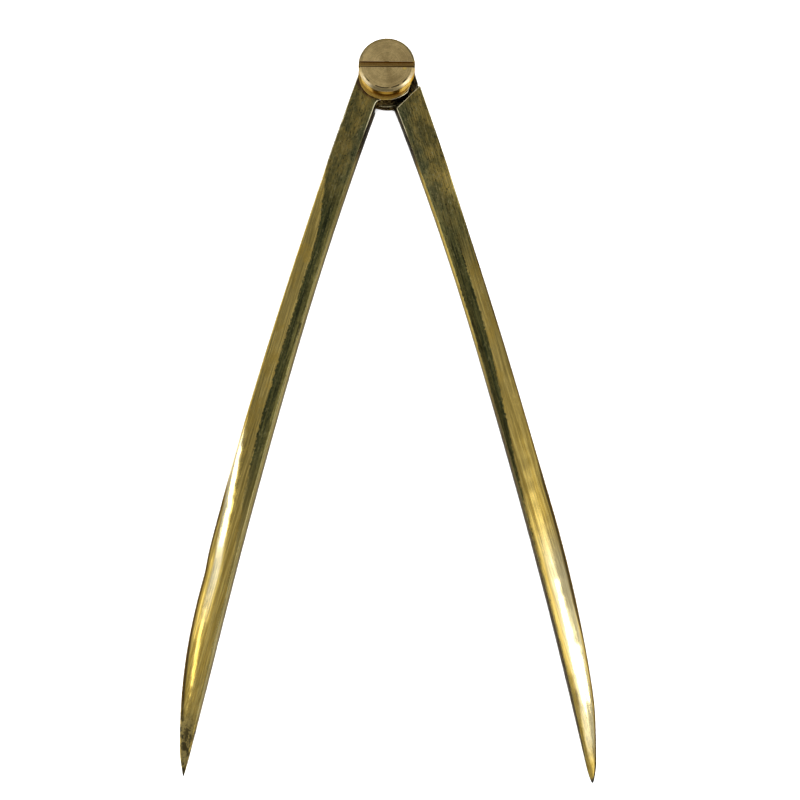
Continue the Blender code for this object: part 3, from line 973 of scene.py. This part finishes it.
def screw_profile():
    """From the middle of the head's face, over the chamfer and down to the thread's end."""
    face = HEAD_FACE_RADIUS
    profile = [(0, HEAD_TOP)]
    for k in range(1, FACE_RINGS + 1):
        radius = face * k / FACE_RINGS
        groove = GROOVE_DEPTH * (1 - math.cos(radius * GROOVE_RATE))
        profile.append((radius, HEAD_TOP - groove))
    profile += [(face + 0.05, HEAD_TOP - 0.05), (face + 0.12, HEAD_TOP - 0.06),
                (face + 0.2, HEAD_TOP - 0.11)]
    profile += [(HEAD_RADIUS - 0.09, HEAD_TOP - 0.43), (HEAD_RADIUS - 0.03, HEAD_TOP - 0.50),
                (HEAD_RADIUS, HEAD_TOP - 0.60), (HEAD_RADIUS, HEAD_BOTTOM + 0.12),
                (HEAD_RADIUS - 0.12, HEAD_BOTTOM)]
    shoulder = REAR_LAP_TOP + LAP_GAP
    profile += [(SHANK_RADIUS, HEAD_BOTTOM), (SHANK_RADIUS, shoulder), (THREAD_RADIUS, shoulder),
                (THREAD_RADIUS, 0.25), (THREAD_RADIUS - 0.2, SCREW_END), (0, SCREW_END)]
    return profile


def slot_outline():
    half = SLOT_WIDTH / 2
    floor = HEAD_TOP - SLOT_DEPTH
    side = [(half - SLOT_CORNER, floor), (half, floor + SLOT_CORNER), (half, HEAD_TOP - SLOT_WEAR),
            (half + SLOT_WEAR, HEAD_TOP), (half + SLOT_WEAR, HEAD_TOP + 1)]
    return [(-side[0][0], floor)] + side + [(-y, z) for y, z in reversed(side[1:])]


def make_screw():
    screw = new_object("brass_screw", turned(screw_profile(), 256))
    subtract(screw, turn_z(prism(slot_outline(), 10.0), SLOT_TURN))
    shade(screw.data)
    screw.data.materials.clear()
    screw.data.materials.append(turned_brass(SCREW_FINISH))
    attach(screw, "right_leg")
    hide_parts("pivot_screw")


# ---- stage, light and camera ---------------------------------------------------------------
FLOOR_HALF_SIZE = 1.2
FLOOR_AT = (0, -0.09, -0.0001)
FLOOR_COLOUR = (0.9, 0.9, 0.9, 1)
CEILING = [(0.0, 0.75), (0.3, 0.55), (0.6, 0.42), (0.85, 0.38), (1.0, 0.34)]
LIGHT_DISTANCE = 0.8
CAMERA_PLACE = (0.00562, -0.1215, 0.2406)
CAMERA_TURN = (7.24, 0.52, -0.14)
CAMERA_LENS = 40.5

# Each light's name; its azimuth, from -Y towards +X, and elevation as seen from its aim; its
# width and height as angles; its radiance; and its aim.
FILL = ("fill", 0.0, 90.0, 80.0, 80.0, 4.6, (0.0, -0.14, 0.0))
SOFT_BOXES = [
    ("left_box_a", -101.4, 39.5, 4.0, 6.5, 9.0, (-0.045, -0.12, 0.0)),
    ("left_box_d", -106.5, 36.0, 3.0, 6.5, 5.0, (-0.045, -0.11, 0.0)),
    ("left_box_c", -97.9, 43.0, 1.8, 10.0, 7.0, (-0.045, -0.13, 0.0)),
    ("left_box_b", -84.5, 40.5, 12.0, 7.0, 2.5, (-0.05, -0.155, 0.0)),
    ("left_glow", -93.0, 50.0, 6.0, 10.0, 0.6, (-0.05, -0.15, 0.0)),
    ("left_skirt", -93.0, 30.0, 7.0, 6.0, 1.0, (-0.05, -0.15, 0.0)),
    ("right_box_low", 82.5, 43.0, 8.0, 28.0, 7.5, (0.05, -0.15, 0.0)),
    ("right_box_high", 89.5, 52.0, 4.0, 9.0, 7.0, (0.05, -0.15, 0.0)),
    ("right_box_tip", 73.5, 46.0, 5.0, 11.0, 4.0, (0.05, -0.155, 0.0)),
    ("right_end_low", 104.0, 43.0, 4.0, 12.0, 0.75, (0.04, -0.12, 0.0)),
    ("right_end_high", 98.5, 56.0, 5.0, 14.0, 1.1, (0.045, -0.13, 0.0)),
    ("right_glow", 80.0, 66.0, 16.0, 18.0, 0.85, (0.05, -0.15, 0.0)),
    ("right_skirt", 89.0, 21.0, 10.0, 15.0, 0.4, (0.05, -0.15, 0.0)),
    ("right_low_glow", 60.0, 47.0, 17.0, 20.0, 0.7, (0.05, -0.17, 0.0)),
]


def make_floor():
    bm = bmesh.new()
    bmesh.ops.create_grid(bm, x_segments=1, y_segments=1, size=FLOOR_HALF_SIZE)
    bmesh.ops.translate(bm, verts=bm.verts, vec=FLOOR_AT)
    floor = new_object("floor", bm)
    material = bpy.data.materials.new("floor")
    material.use_nodes = True
    shader = material.node_tree.nodes["Principled BSDF"]
    shader.inputs["Base Color"].default_value = FLOOR_COLOUR
    shader.inputs["Roughness"].default_value = 1.0
    shader.inputs["Specular IOR Level"].default_value = 0.0
    floor.data.materials.append(material)


def make_world():
    """A dim ceiling that brightens towards the walls."""
    world = bpy.data.worlds.new("studio")
    bpy.context.scene.world = world
    world.use_nodes = True
    tree = world.node_tree
    background = tree.nodes["Background"]
    coords = tree.nodes.new("ShaderNodeTexCoord")
    split = tree.nodes.new("ShaderNodeSeparateXYZ")
    ramp_node = tree.nodes.new("ShaderNodeValToRGB")
    tree.links.new(coords.outputs["Generated"], split.inputs[0])
    tree.links.new(split.outputs["Z"], ramp_node.inputs[0])
    elements = ramp_node.color_ramp.elements
    while len(elements) < len(CEILING):
        elements.new(0.5)
    for element, (position, value) in zip(elements, CEILING):
        element.position = position
        element.color = (value, value, value, 1)
    tree.links.new(ramp_node.outputs[0], background.inputs["Color"])
    background.inputs["Strength"].default_value = 1.0


def soft_box(name, azimuth, elevation, width, height, radiance, aim):
    """A rectangular light that faces its aim from LIGHT_DISTANCE away."""
    around, above = math.radians(azimuth), math.radians(elevation)
    direction = Vector((math.sin(around) * math.cos(above), -math.cos(around) * math.cos(above),
                        math.sin(above)))
    light = bpy.data.lights.new(name, "AREA")
    light.shape = "RECTANGLE"
    light.size = 2 * LIGHT_DISTANCE * math.tan(math.radians(width / 2))
    light.size_y = 2 * LIGHT_DISTANCE * math.tan(math.radians(height / 2))
    light.energy = radiance * math.pi * light.size * light.size_y
    obj = bpy.data.objects.new(name, light)
    obj.location = Vector(aim) + direction * LIGHT_DISTANCE
    obj.rotation_euler = (-direction).to_track_quat("-Z", "Y").to_euler()
    bpy.context.collection.objects.link(obj)
    return obj


def make_lights():
    soft_box(*FILL).visible_glossy = False
    for row in SOFT_BOXES:
        soft_box(*row)


def make_camera():
    camera = bpy.data.cameras.new("camera")
    camera.sensor_width = 36.0
    camera.lens = CAMERA_LENS
    camera.clip_start = 0.01
    obj = bpy.data.objects.new("camera", camera)
    obj.location = CAMERA_PLACE
    obj.rotation_mode = "ZYX"
    obj.rotation_euler = [math.radians(a) for a in CAMERA_TURN]
    bpy.context.collection.objects.link(obj)
    bpy.context.scene.camera = obj


for side in LEGS:
    make_leg(side)
make_washer()
make_screw()
make_floor()
make_world()
make_lights()
make_camera()
bpy.context.scene.view_settings.view_transform = "Standard"
